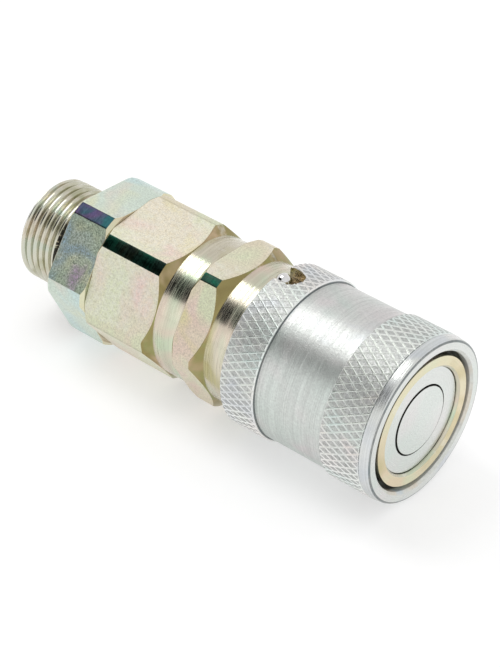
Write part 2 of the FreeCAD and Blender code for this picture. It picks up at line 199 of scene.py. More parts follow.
def shade(obj: bpy.types.Object) -> None:
    """Smooth shading up to the sharp edges, led by the large faces."""
    pick_only(obj)
    bpy.ops.object.shade_smooth_by_angle(angle=SMOOTH_ANGLE)
    add_modifier(obj, "WEIGHTED_NORMAL", keep_sharp=True)


def eased(outline: list[Point], radius: float, cuts: int = 3) -> list[Point]:
    """Round the corners of a closed outline.

    Args:
        outline: corners as (x, radius).
        radius: size of the rounding, held under the edges beside each corner.
        cuts: edges along one rounded corner.

    Returns:
        The outline with a short curve at each corner that is off the axis.
    """
    rounded = []
    for i, corner in enumerate(outline):
        here = Vector(corner)
        into, out = here - Vector(outline[i - 1]), Vector(outline[(i + 1) % len(outline)]) - here
        turn = into.angle(out)
        if here.y < radius or turn < math.radians(5):
            rounded.append(corner)
            continue
        reach = min(radius * math.tan(turn / 2), 0.4 * into.length, 0.4 * out.length)
        start, end = here - into.normalized() * reach, here + out.normalized() * reach
        for step in range(cuts + 1):
            share = step / cuts
            bend = start * (1 - share) ** 2 + here * 2 * share * (1 - share) + end * share ** 2
            rounded.append((bend.x, bend.y))
    return rounded


def round_section(centre: Point, radius: float, flash: float = 0.0, cuts: int = 24) -> list[Point]:
    """The round section of a ring.

    Args:
        centre: (x, radius) of the section's middle.
        radius: the section's own radius.
        flash: height of the mould line inside and outside.
        cuts: edges round the section.

    Returns:
        The section's outline.
    """
    outline = []
    for step in range(cuts):
        angle = 2 * math.pi * step / cuts
        reach = radius - (0 if step % (cuts // 2) == cuts // 4 else flash)
        outline.append((centre[0] + reach * math.cos(angle), centre[1] + reach * math.sin(angle)))
    return outline


def chain(name: str, outline: list[Point]) -> bpy.types.Object:
    """A chain of edges above the X axis, drawn out from a single point.

    Args:
        name: the new object's name.
        outline: its points as (x, radius), in millimetres.

    Returns:
        The new object, which has no faces.
    """
    bpy.ops.object.select_all(action="DESELECT")
    bpy.ops.mesh.primitive_plane_add(size=MM)
    obj = bpy.context.object
    obj.name = obj.data.name = name
    here = Vector((0, 0, 0))
    with editing(obj):
        bpy.ops.mesh.merge(type="CENTER")
        for place, (x, radius) in enumerate(outline):
            step = Vector((x, 0, radius)) * MM - here
            here += step
            if place:
                bpy.ops.mesh.extrude_vertices_move(TRANSFORM_OT_translate={"value": step})
            else:
                bpy.ops.transform.translate(value=step)
        bpy.ops.mesh.select_all(action="SELECT")
        bpy.ops.mesh.remove_doubles(threshold=WELD)
    return obj


def turned(name: str, outline: list[Point], steps: int = STEPS) -> bpy.types.Object:
    """A piece turned about X from a half section.

    Args:
        name: the new object's name.
        outline: the half section's points as (x, radius), in millimetres.
        steps: faces round the axis.

    Returns:
        The new object, closed and facing outwards.
    """
    solid = outline[0][1] == 0 and outline[-1][1] == 0
    obj = chain(name, outline if solid else outline + outline[:1])
    with editing(obj):
        bpy.ops.mesh.spin(steps=steps, angle=2 * math.pi, center=(0, 0, 0), axis=AXIS)
    weld(obj)
    return obj


def wound(obj: bpy.types.Object, turns: float, rise: float, steps: int) -> bpy.types.Object:
    """Sweep a closed section along a right-hand helix about X.

    Args:
        obj: the section, where the helix starts.
        turns: number of turns.
        rise: length of the helix along X, in millimetres.
        steps: faces along one turn.

    Returns:
        The same object, closed and facing outwards.
    """
    add_modifier(obj, "SCREW", axis="X", angle=2 * math.pi * turns, iterations=1, screw_offset=rise * MM,
                 steps=int(turns * steps), render_steps=int(turns * steps), use_merge_vertices=False)
    with editing(obj):
        pick(obj, "edges", lambda edge: edge.is_boundary)
        bpy.ops.mesh.fill_holes(sides=0)
    weld(obj)
    return obj


def carve(obj: bpy.types.Object, tool: bpy.types.Object, operation: str = "DIFFERENCE") -> None:
    """Cut, join or trim a piece with another closed piece, which is used up."""
    add_modifier(obj, "BOOLEAN", object=tool, operation=operation, solver="EXACT")
    bpy.data.objects.remove(tool)
    weld(obj)


def radial_pin(centre: Point, radius: float, reach: float, angle: float,
               sides: int = 48) -> bpy.types.Object:
    """A round pin that points away from the axis, for cutting a hole.

    Args:
        centre: (x, radius) of the pin's inner end.
        radius: the pin's own radius.
        reach: its length.
        angle: degrees from +Z towards -Y.
        sides: faces round it.

    Returns:
        The pin.
    """
    turn = math.radians(angle)
    out = Vector((0, -math.sin(turn), math.cos(turn)))
    middle = Vector((centre[0], 0, 0)) + out * (centre[1] + reach / 2)
    bpy.ops.object.select_all(action="DESELECT")
    bpy.ops.mesh.primitive_cylinder_add(vertices=sides, radius=radius * MM, depth=reach * MM,
                                        location=middle * MM, rotation=(turn, 0, 0))
    pin = bpy.context.object
    bpy.ops.object.transform_apply(location=True, rotation=True, scale=True)
    return pin


def ball(name: str, centre: Vector, radius: float, cuts: int = 11) -> bpy.types.Object:
    """A bearing ball with even faces all over: a cube, divided and drawn out to a sphere.

    Args:
        name: the new object's name.
        centre: its middle, in metres.
        radius: its radius, in millimetres.
        cuts: divisions of each of the cube's edges.

    Returns:
        The ball.
    """
    bpy.ops.object.select_all(action="DESELECT")
    bpy.ops.mesh.primitive_cube_add(size=2 * radius * MM)
    obj = bpy.context.object
    obj.name = obj.data.name = name
    with editing(obj):
        bpy.ops.mesh.subdivide(number_cuts=cuts)
        bpy.ops.transform.tosphere(value=1.0)
        reach = max(v.co.length for v in bmesh.from_edit_mesh(obj.data).verts)
        bpy.ops.transform.resize(value=(radius * MM / reach,) * 3, center_override=(0, 0, 0))
        bpy.ops.transform.translate(value=centre)
    return obj


def joined(name: str, pieces: list[bpy.types.Object]) -> bpy.types.Object:
    """Several objects as one."""
    pick_only(pieces[0])
    for piece in pieces[1:]:
        piece.select_set(True)
    bpy.ops.object.join()
    pieces[0].name = pieces[0].data.name = name
    return pieces[0]


def coil(name: str, rear: float, front: float, coil_r: float, wire_r: float,
         turns: float) -> bpy.types.Object:
    """An open coil spring about X that just touches both its seats.

    Args:
        name: the new object's name.
        rear: X of its rear seat.
        front: X of its front seat.
        coil_r: radius of the wire's middle.
        wire_r: the wire's own radius.
        turns: number of turns.

    Returns:
        The spring.
    """
    bpy.ops.object.select_all(action="DESELECT")
    bpy.ops.mesh.primitive_circle_add(vertices=16, radius=wire_r * MM, fill_type="NGON",
                                      rotation=(math.pi / 2, 0, 0),
                                      location=((rear + wire_r) * MM, 0, coil_r * MM))
    obj = bpy.context.object
    obj.name = obj.data.name = name
    bpy.ops.object.transform_apply(location=True, rotation=True, scale=True)
    with editing(obj):
        bpy.ops.mesh.delete(type="ONLY_FACE")
    return wound(obj, turns, front - rear - 2 * wire_r, COIL_STEPS)


# ---- Shared effects ---------------------------------------------------------------------------

class Effect:
    """A shader node group with named inputs and outputs, built once."""

    def __init__(self, name: str, inputs: dict[str, tuple[str, object]], outputs: dict[str, str]) -> None:
        """Make the group's sockets.

        Args:
            name: the group's name.
            inputs: each input's socket type and default.
            outputs: each output's socket type.
        """
        self.tree = bpy.data.node_groups.new(name, "ShaderNodeTree")
        for word, (kind, value) in inputs.items():
            socket = self.tree.interface.new_socket(name=word, in_out="INPUT", socket_type=kind)
            if value is not None:
                socket.default_value = value
        for word, kind in outputs.items():
            self.tree.interface.new_socket(name=word, in_out="OUTPUT", socket_type=kind)
        self.start = self.tree.nodes.new("NodeGroupInput").outputs
        self.end = self.tree.nodes.new("NodeGroupOutput").inputs
        self.wiring = Wiring(self.tree)


class Wiring:
    """Short forms for adding nodes to a tree."""

    def __init__(self, tree: bpy.types.NodeTree) -> None:
        """Keep the tree that nodes are added to."""
        self.tree = tree

    def add(self, kind: str, links: dict[object, object] | None = None,
            **settings: object) -> bpy.types.Node:
        """Add a node.

        Args:
            kind: the node's type, without its ShaderNode prefix.
            links: a value or a socket for each of the node's inputs.
            settings: the node's own properties.

        Returns:
            The node.
        """
        node = self.tree.nodes.new("ShaderNode" + kind)
        for word, value in settings.items():
            setattr(node, word, value)
        for place, value in (links or {}).items():
            self.feed(node.inputs[place], value)
        return node

    def feed(self, socket: bpy.types.NodeSocket, value: object) -> None:
        """Link a socket to an input, or set the input's own value."""
        if isinstance(value, bpy.types.NodeSocket):
            self.tree.links.new(value, socket)
        else:
            socket.default_value = value

    def math(self, operation: str, first: object, second: object = 0.0) -> bpy.types.NodeSocket:
        """One step of arithmetic."""
        return self.add("Math", {0: first, 1: second}, operation=operation).outputs[0]

    def span(self, value: object, low: float, high: float, start: float = 0.0,
             end: float = 1.0) -> bpy.types.NodeSocket:
        """Map low..high to start..end, held at both ends."""
        links = {"Value": value, "From Min": low, "From Max": high, "To Min": start, "To Max": end}
        return self.add("MapRange", links).outputs["Result"]

    def noise(self, vector: object, scale: object, detail: float = 3.0, rough: float = 0.5,
              warp: float = 0.0) -> bpy.types.NodeSocket:
        """Noise from 0 to 1."""
        links = {"Vector": vector, "Scale": scale, "Detail": detail, "Roughness": rough, "Distortion": warp}
        return self.add("TexNoise", links).outputs[0]

    def blend(self, share: object, first: object, second: object) -> bpy.types.NodeSocket:
        """Mix two colours."""
        mix = self.add("Mix", data_type="RGBA")
        for place, value in ((0, share), (6, first), (7, second)):
            self.feed(mix.inputs[place], (*value, 1.0) if isinstance(value, tuple) else value)
        return mix.outputs[2]

    def vector(self, x: object, y: object, z: object) -> bpy.types.NodeSocket:
        """Three values as a vector."""
        return self.add("CombineXYZ", {0: x, 1: y, 2: z}).outputs[0]

    def group(self, effect: Effect, **links: object) -> dict[str, bpy.types.NodeSocket]:
        """Place a shared effect and give its outputs by name."""
        node = self.tree.nodes.new("ShaderNodeGroup")
        node.node_tree = effect.tree
        for word, value in links.items():
            self.feed(node.inputs[word], value)
        return {socket.name: socket for socket in node.outputs}


class Effects:
    """The effects that more than one finish uses."""

    def __init__(self) -> None:
        """Build each effect once."""
        self.lathe_marks = self._lathe_marks()
        self.bloom = self._bloom()
        self.grain = self._grain()
        self.wear_and_shade = self._wear_and_shade()

    @staticmethod
    def _lathe_marks() -> Effect:
        """Fine lines left by a tool that goes round the axis, on round and end faces alike."""
        effect = Effect("lathe_marks",
                        {"Vector": ("NodeSocketVector", None), "Pitch": ("NodeSocketFloat", 0.3)},
                        {"Height": "NodeSocketFloat", "Streak": "NodeSocketFloat"})
        w, start = effect.wiring, effect.start
        place = w.add("SeparateXYZ", {0: start["Vector"]}).outputs
        radius = w.math("SQRT", w.math("ADD", w.math("MULTIPLY", place[1], place[1]),
                                       w.math("MULTIPLY", place[2], place[2])))
        lines = w.math("DIVIDE", 1.0, w.math("MULTIPLY", start["Pitch"], MM))
        along = w.math("MULTIPLY", w.math("ADD", place[0], radius), lines)
        about = w.math("MULTIPLY", place[1], LINE_DRIFT)
        above = w.math("MULTIPLY", place[2], LINE_DRIFT)
        coarse = w.noise(w.vector(along, about, above), 1.0, 2.0, 0.6)
        fine = w.noise(w.vector(w.math("MULTIPLY", along, 3.7), about, above), 1.0, 2.0, 0.7)
        height = w.math("ADD", w.math("MULTIPLY", coarse, 0.65), w.math("MULTIPLY", fine, 0.35))
        w.feed(effect.end["Height"], height)
        w.feed(effect.end["Streak"], w.span(height, 0.38, 0.62))
        return effect

    @staticmethod
    def _bloom() -> Effect:
        """Patches of passivation colour that run into each other."""
        effect = Effect("bloom",
                        {"Vector": ("NodeSocketVector", None), "Patch": ("NodeSocketFloat", 90.0),
                         "Base": ("NodeSocketColor", None), "Warm": ("NodeSocketColor", None),
                         "Cool": ("NodeSocketColor", None), "Deep": ("NodeSocketColor", None)},
                        {"Colour": "NodeSocketColor"})
        w, start = effect.wiring, effect.start
        first = w.noise(start["Vector"], start["Patch"], 2.0, 0.5, 0.6)
        away = w.add("VectorMath", {0: start["Vector"], 1: (0.7, 0.3, 0.9)}, operation="ADD").outputs[0]
        second = w.noise(away, start["Patch"], 2.0, 0.5, 0.9)
        colour = w.blend(w.span(first, 0.5, 0.66), start["Base"], start["Warm"])
        colour = w.blend(w.span(second, 0.5, 0.66), colour, start["Cool"])
        colour = w.blend(w.span(second, 0.44, 0.3), colour, start["Deep"])
        w.feed(effect.end["Colour"], colour)
        return effect

    @staticmethod
    def _grain() -> Effect:
        """The fine crystalline speckle of a plated matt surface."""
        effect = Effect("grain",
                        {"Vector": ("NodeSocketVector", None), "Size": ("NodeSocketFloat", 0.2)},
                        {"Height": "NodeSocketFloat", "Speckle": "NodeSocketFloat"})
        w, start = effect.wiring, effect.start
        scale = w.math("DIVIDE", 1.0, w.math("MULTIPLY", start["Size"], MM))
        cells = w.add("TexVoronoi", {"Vector": start["Vector"], "Scale": scale}).outputs["Distance"]
        cloud = w.noise(start["Vector"], w.math("MULTIPLY", scale, 0.45), 4.0, 0.65)
        height = w.math("ADD", w.math("MULTIPLY", cells, 0.4), w.math("MULTIPLY", cloud, 0.8))
        w.feed(effect.end["Height"], height)
        w.feed(effect.end["Speckle"], w.span(cloud, 0.36, 0.66))
        return effect

    @staticmethod
    def _wear_and_shade() -> Effect:
        """Rubbed edges, and painted shade that darkens and dulls the hollows."""
        effect = Effect("wear_and_shade", {"Vector": ("NodeSocketVector", None)},
                        {"Rubbed": "NodeSocketFloat", "HollowShade": "NodeSocketFloat"})
        w, start = effect.wiring, effect.start
        point = w.add("NewGeometry").outputs["Pointiness"]
        broken = w.noise(start["Vector"], 900.0, 4.0, 0.6)
        rubbed = w.math("MULTIPLY", w.span(point, 0.52, 0.6), w.span(broken, 0.35, 0.6))
        # Painted shade: a mask of the hollows, broken up by noise.
        dull = w.math("MULTIPLY", w.span(point, 0.47, 0.4), w.span(broken, 0.3, 0.7, 0.4, 1.0))
        w.feed(effect.end["Rubbed"], rubbed)
        w.feed(effect.end["HollowShade"], dull)
        return effect


# ---- Finishes ---------------------------------------------------------------------------------

@dataclass(frozen=True)
class Finish:
    """A metal, rubber or plastic surface: colours, gloss and the marks on it."""

    name: str
    base: Colour
    warm: Colour
    cool: Colour
    deep: Colour
    patch: float = 90.0
    metallic: float = 1.0
    gloss: tuple[float, float] = (0.2, 0.3)
    lathe: float = 0.0
    lathe_pitch: float = 0.3
    lathe_tint: float = 0.0
    grain: float = 0.0
    grain_size: float = 0.2
    grain_tint: float = 0.0
    rub: float = 0.3
    rubbed: Colour = (0.85, 0.85, 0.82)

    def material(self, effects: Effects) -> bpy.types.Material:
        """Make the finish as a material.

        Args:
            effects: the shared node groups.

        Returns:
            The material.
        """
        material = bpy.data.materials.new(self.name)
        material.use_nodes = True
        w = Wiring(material.node_tree)
        shader = material.node_tree.nodes["Principled BSDF"]
        place = w.add("TexCoord").outputs["Object"]
        bloom = w.group(effects.bloom, Vector=place, Patch=self.patch, Base=(*self.base, 1),
                        Warm=(*self.warm, 1), Cool=(*self.cool, 1), Deep=(*self.deep, 1))
        marks = w.group(effects.lathe_marks, Vector=place, Pitch=self.lathe_pitch)
        grain = w.group(effects.grain, Vector=place, Size=self.grain_size)
        wear_and_shade = w.group(effects.wear_and_shade, Vector=place)
        colour = w.blend(w.math("MULTIPLY", marks["Streak"], self.lathe_tint), bloom["Colour"],
                         tuple(c * 0.55 for c in self.base))
        colour = w.blend(w.math("MULTIPLY", grain["Speckle"], self.grain_tint), colour,
                         tuple(c * 0.35 for c in self.base))
        # Painted shade: the hollows are darkened towards a third of the base colour.
        colour = w.blend(w.math("MULTIPLY", wear_and_shade["HollowShade"], 0.35), colour, tuple(c * 0.3 for c in self.base))
        colour = w.blend(w.math("MULTIPLY", wear_and_shade["Rubbed"], self.rub), colour, self.rubbed)
        spread = w.math("MULTIPLY", w.math("ADD", marks["Streak"], grain["Speckle"]), 0.5)
        gloss = w.span(w.math("ADD", spread, w.math("MULTIPLY", wear_and_shade["HollowShade"], 0.5)), 0.0, 1.0, *self.gloss)
        height = w.math("ADD", w.math("MULTIPLY", marks["Height"], self.lathe),
                        w.math("MULTIPLY", grain["Height"], self.grain))
        bump = w.add("Bump", {"Height": height, "Strength": 1.0, "Distance": BUMP_HEIGHT})
        for socket, value in (("Base Color", colour), ("Roughness", gloss), ("Normal", bump.outputs[0])):
            w.feed(shader.inputs[socket], value)
        shader.inputs["Metallic"].default_value = self.metallic
        return material


class Finishes:
    """Every finish on the coupler, each made once."""

    def __init__(self) -> None:
        """Build the effects and then the finishes."""
        effects = Effects()

        def made(name: str, *colours: Colour, **settings: object) -> bpy.types.Material:
            """One finish as a material."""
            return Finish(name, *colours, **settings).material(effects)

        gold = {"base": (0.66, 0.61, 0.49), "warm": (0.71, 0.57, 0.48), "cool": (0.58, 0.67, 0.50),
                "deep": (0.50, 0.46, 0.24)}
        turning = {"lathe": 22.0, "lathe_pitch": 0.7, "lathe_tint": 0.3}
        blasted = {"gloss": (0.3, 0.5), "grain": 11.0, "grain_size": 0.18, "grain_tint": 0.48,
                   "metallic": 0.4, "patch": 60.0}
        self.gold_turned = made("yellow_zinc_turned", **gold, **turning, patch=70.0, gloss=(0.05, 0.2))
        self.gold_thread = made(
            "yellow_zinc_thread", (0.60, 0.59, 0.49), (0.62, 0.56, 0.46), (0.52, 0.58, 0.50),
            (0.44, 0.43, 0.30), patch=110.0, gloss=(0.14, 0.26), lathe=1.0, lathe_pitch=0.5)
        self.gold_flat = made(
            "yellow_zinc_bar_flat", (0.80, 0.72, 0.55), (0.83, 0.63, 0.56), (0.73, 0.77, 0.54),
            (0.77, 0.69, 0.38), **blasted)
        self.mint_flat = made(
            "yellow_zinc_mint_flat", (0.70, 0.80, 0.70), (0.82, 0.72, 0.62), (0.64, 0.80, 0.78),
            (0.78, 0.80, 0.56), **blasted)
        # Painted shade and reflection: a darker copy of the mint flat for the stud flat that faces the
        # camera, standing in for the dark it reflects; its strong speckle is the plating's own.
        self.shaded_flat = made(
            "yellow_zinc_shaded_flat", (0.46, 0.55, 0.42), (0.56, 0.58, 0.40), (0.32, 0.44, 0.52),
            (0.44, 0.30, 0.46), patch=75.0, gloss=(0.2, 0.5), grain=18.0, grain_size=0.18, grain_tint=1.1)
        scale = {"gloss": (0.15, 0.4), "grain": 2.0, "grain_size": 0.5, "rub": 0.1}
        self.gold_corner = made(
            "yellow_zinc_bar_corner", (0.012, 0.030, 0.022), (0.030, 0.036, 0.020), (0.006, 0.044, 0.028),
            (0.008, 0.014, 0.012), **scale, patch=160.0)
        self.purple_corner = made(
            "yellow_zinc_purple_corner", (0.035, 0.028, 0.06), (0.05, 0.035, 0.06), (0.012, 0.045, 0.05),
            (0.03, 0.02, 0.05), **scale, patch=120.0)
        self.gold_bevel = made(
            "yellow_zinc_bevel", (0.31, 0.26, 0.11), (0.50, 0.38, 0.24), (0.30, 0.32, 0.13),
            (0.24, 0.19, 0.08), patch=110.0, gloss=(0.08, 0.2), lathe=8.0, lathe_pitch=0.4,
            lathe_tint=0.2)
        silver = {"base": (0.72, 0.74, 0.715), "warm": (0.76, 0.72, 0.72), "cool": (0.68, 0.74, 0.70),
                  "deep": (0.64, 0.67, 0.70)}
        self.silver_brushed = made(
            "silver_zinc_brushed", **silver, patch=50.0, gloss=(0.26, 0.44), lathe=11.0, lathe_pitch=0.3,
            lathe_tint=0.4, grain=4.0, grain_size=0.22, grain_tint=0.25)
        self.silver_nose = made(
            "silver_zinc_nose", **silver, patch=50.0, gloss=(0.14, 0.28), lathe=8.0, lathe_pitch=0.3,
            lathe_tint=0.3, grain=0.4, grain_size=0.18, grain_tint=0.05)
        dull = {word: tuple(c * 0.78 for c in colour) for word, colour in silver.items()}
        self.silver_knurl = made(
            "silver_zinc_knurl", **dull, patch=60.0, gloss=(0.34, 0.5), grain=9.0, grain_size=0.2,
            grain_tint=0.7)
        # Painted highlight: a lighter copy of the silver for the knurl's groove walls, which catch the
        # light.
        self.silver_groove_highlight = made(
            "silver_zinc_groove_highlight", (0.86, 0.88, 0.85), (0.90, 0.86, 0.84), (0.82, 0.88, 0.86),
            (0.8, 0.82, 0.84), patch=60.0, gloss=(0.22, 0.4), grain=1.0, grain_size=0.2, grain_tint=0.1)
        self.silver_face = made(
            "silver_zinc_face", **silver, patch=40.0, gloss=(0.22, 0.34), lathe=0.5, lathe_pitch=0.25,
            lathe_tint=0.05, grain=0.5, grain_size=0.2, grain_tint=0.05)
        self.silver_mouth = made(
            "silver_zinc_mouth", (0.74, 0.76, 0.72), (0.76, 0.70, 0.60), (0.66, 0.72, 0.76),
            (0.6, 0.6, 0.58), gloss=(0.5, 0.65), grain=2.0, grain_size=0.3, grain_tint=0.2, metallic=0.4)
        # Painted shade: a dark finish for the small steps at the knurled band's front, the nose's rear and
        # the nose's front edge, where shade falls.
        self.step = made(
            "silver_zinc_step_shade", (0.24, 0.26, 0.26), (0.32, 0.32, 0.30), (0.20, 0.24, 0.25),
            (0.14, 0.16, 0.17), gloss=(0.2, 0.4), lathe=2.0, lathe_tint=0.3, rub=0.5)
        self.gold_face = made(
            "yellow_zinc_face", (0.74, 0.68, 0.48), (0.76, 0.64, 0.46), (0.70, 0.70, 0.50),
            (0.62, 0.54, 0.32), patch=60.0, gloss=(0.16, 0.28), lathe=1.0, lathe_pitch=0.25,
            lathe_tint=0.08)
        # Painted shade: a near-black finish for the walls down in the seams of the coupling face, where
        # shade falls.
        self.seam = made(
            "seam_shade", (0.02, 0.02, 0.018), (0.03, 0.026, 0.018), (0.018, 0.02, 0.02),
            (0.01, 0.01, 0.01), gloss=(0.2, 0.4), lathe=0.5, rub=0.05)
        self.steel = made(
            "turned_steel", (0.42, 0.42, 0.41), (0.46, 0.44, 0.40), (0.38, 0.40, 0.42),
            (0.30, 0.30, 0.30), gloss=(0.25, 0.4), lathe=1.2, lathe_tint=0.2, grain=0.6)
        self.spring = made(
            "drawn_spring_wire", (0.33, 0.33, 0.34), (0.36, 0.33, 0.30), (0.28, 0.30, 0.34),
            (0.18, 0.18, 0.19), gloss=(0.2, 0.38), grain=1.2, grain_size=0.12, grain_tint=0.3)
        self.chrome = made(
            "polished_ball", (0.72, 0.72, 0.72), (0.74, 0.72, 0.70), (0.70, 0.72, 0.74),
            (0.66, 0.66, 0.66), gloss=(0.03, 0.09), grain=0.05, grain_size=0.5)
        rubber = {"metallic": 0.0, "rub": 0.15, "rubbed": (0.06, 0.06, 0.06)}
        self.rubber = made(
            "nitrile_rubber", (0.012, 0.012, 0.013), (0.018, 0.017, 0.016), (0.010, 0.011, 0.013),
            (0.007, 0.007, 0.008), gloss=(0.38, 0.6), grain=1.0, grain_size=0.1, grain_tint=0.3, **rubber)
        self.ptfe = made(
            "sintered_ptfe", (0.78, 0.77, 0.74), (0.80, 0.77, 0.72), (0.76, 0.78, 0.76),
            (0.70, 0.69, 0.66), gloss=(0.35, 0.5), lathe=0.4, grain=0.6, metallic=0.0, rub=0.05)

    def bar_stock(self) -> list[bpy.types.Material]:
        """The finishes of the two bodies, in the order of Skin."""
        return [self.gold_turned, self.gold_flat, self.gold_corner, self.gold_bevel, self.gold_flat,
                self.gold_face]

    def stud_stock(self) -> list[bpy.types.Material]:
        """The finishes of the port stud, in the order of Skin."""
        # The stud's facing flat takes the painted-shade copy of its flat finish.
        return [self.gold_turned, self.mint_flat, self.purple_corner, self.gold_face, self.shaded_flat,
                self.gold_thread]

    def sleeve_stock(self) -> list[bpy.types.Material]:
        """The finishes of the locking sleeve, in the order of Grip."""
        # The groove slot holds a painted highlight.
        # The notch slot, the dark gold bevel finish, holds painted shade and a painted reflection of the
        # collar.
        # The step slot holds painted shade.
        return [self.silver_brushed, self.silver_knurl, self.silver_face, self.silver_nose, self.step,
                self.silver_groove_highlight, self.silver_mouth, self.gold_bevel]


# ---- Pieces -----------------------------------------------------------------------------------

def settle(obj: bpy.types.Object, body: Body, node: str) -> bpy.types.Object:
    """Finish a piece and tie it to the frame.

    Args:
        obj: the piece, in place.
        body: the body that it moves with.
        node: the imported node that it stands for.

    Returns:
        The piece.
    """
    shade(obj)
    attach(obj, body.value)
    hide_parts(node)
    log.info("%s: %d faces, rides on %s", obj.name, len(obj.data.polygons), body.value)
    return obj


def paint(obj: bpy.types.Object, materials: list[bpy.types.Material],
          choose: Callable[[bpy.types.MeshPolygon], int] = lambda face: 0) -> None:
    """Give a piece its finishes.

    Args:
        obj: the piece.
        materials: its finishes, one slot each.
        choose: the slot of each face.
    """
    obj.data.materials.clear()
    for material in materials:
        obj.data.materials.append(material)
    for face in obj.data.polygons:
        face.material_index = choose(face)


def in_seam_shade(face: bpy.types.MeshPolygon) -> int:
    """Slot of a face of the coupling face's pieces: 1, the near-black painted shade, on the side walls down
    in the thin seams between them.
    """
    return int(face.center.x > SEAM_REAR * MM and abs(face.normal.x) < SEAM_SLOPE)


@dataclass(frozen=True)
class Hexagon:
    """A length of hexagon bar, turned to its corner radius."""

    rear: float
    front: float
    corner_r: float
    turn: float
    apothem: float = 18.5
    edge: float = 0.1
    corner_land: float = 0.15
    scaled_arc: float = 15.0

    def normals(self) -> list[Vector]:
        """The outward directions of the six flats."""
        turns = [math.radians(self.turn + 30 + 60 * side) for side in range(6)]
        return [Vector((0, -math.sin(turn), math.cos(turn))) for turn in turns]

    def mill(self, obj: bpy.types.Object) -> None:
        """Cut the six flats and take the sharpness off their edges."""
        for normal in self.normals():
            with editing(obj):
                bpy.ops.mesh.bisect(plane_co=normal * self.apothem * MM, plane_no=normal, use_fill=True,
                                    clear_outer=True, threshold=WELD / 10)
        with editing(obj):
            pick(obj, "faces", lambda face: self.on_flat(face.calc_center_median(), face.normal))
            bpy.ops.mesh.region_to_loop()
            bpy.ops.mesh.bevel(offset=self.edge * MM, segments=2, affect="EDGES")
        for end, side in ((self.rear, -1), (self.front, 1)):
            with editing(obj):
                pick(obj, "verts", lambda vert: self.past_end(vert.co / MM, end, side))
                bpy.ops.transform.resize(value=(0, 1, 1), center_override=(end * MM, 0, 0))

    def past_end(self, place: Vector, end: float, side: int) -> bool:
        """Whether a point of an eased corner, in millimetres, stands past an end of the hexagon."""
        return 0 < (place.x - end) * side < 0.2 and math.hypot(place.y, place.z) > self.apothem + 0.02

    def on_flat(self, centre: Vector, normal: Vector) -> bool:
        """Whether a face lies on one of the flats."""
        return any(normal.dot(out) > 0.9995 and abs(centre.dot(out) / MM - self.apothem) < 0.02
                   for out in self.normals())

    def skin(self, face: bpy.types.MeshPolygon) -> Skin:
        """The kind of surface that a face of the piece belongs to."""
        x, radius = face.center.x / MM, math.hypot(face.center.y, face.center.z) / MM
        if not self.rear - CLOSE < x < self.front + CLOSE or radius < self.apothem - 0.2:
            return Skin.TURNED
        if self.on_flat(face.center, face.normal):
            # The flat that faces the camera gets its own slot; on the stud that slot holds painted shade.
            return Skin.STAINED if face.normal.dot(self.normals()[0]) > 0.99 else Skin.FLAT
        if abs(face.normal.x) > 0.2:
            return Skin.BEVEL
        angle = math.degrees(math.atan2(-face.center.y, face.center.z)) - self.turn
        scaled = abs((angle + 90) % 180 - 90) < self.scaled_arc
        if radius < self.corner_r - self.corner_land:
            return Skin.TURNED
        return Skin.CORNER if scaled else Skin.FLAT


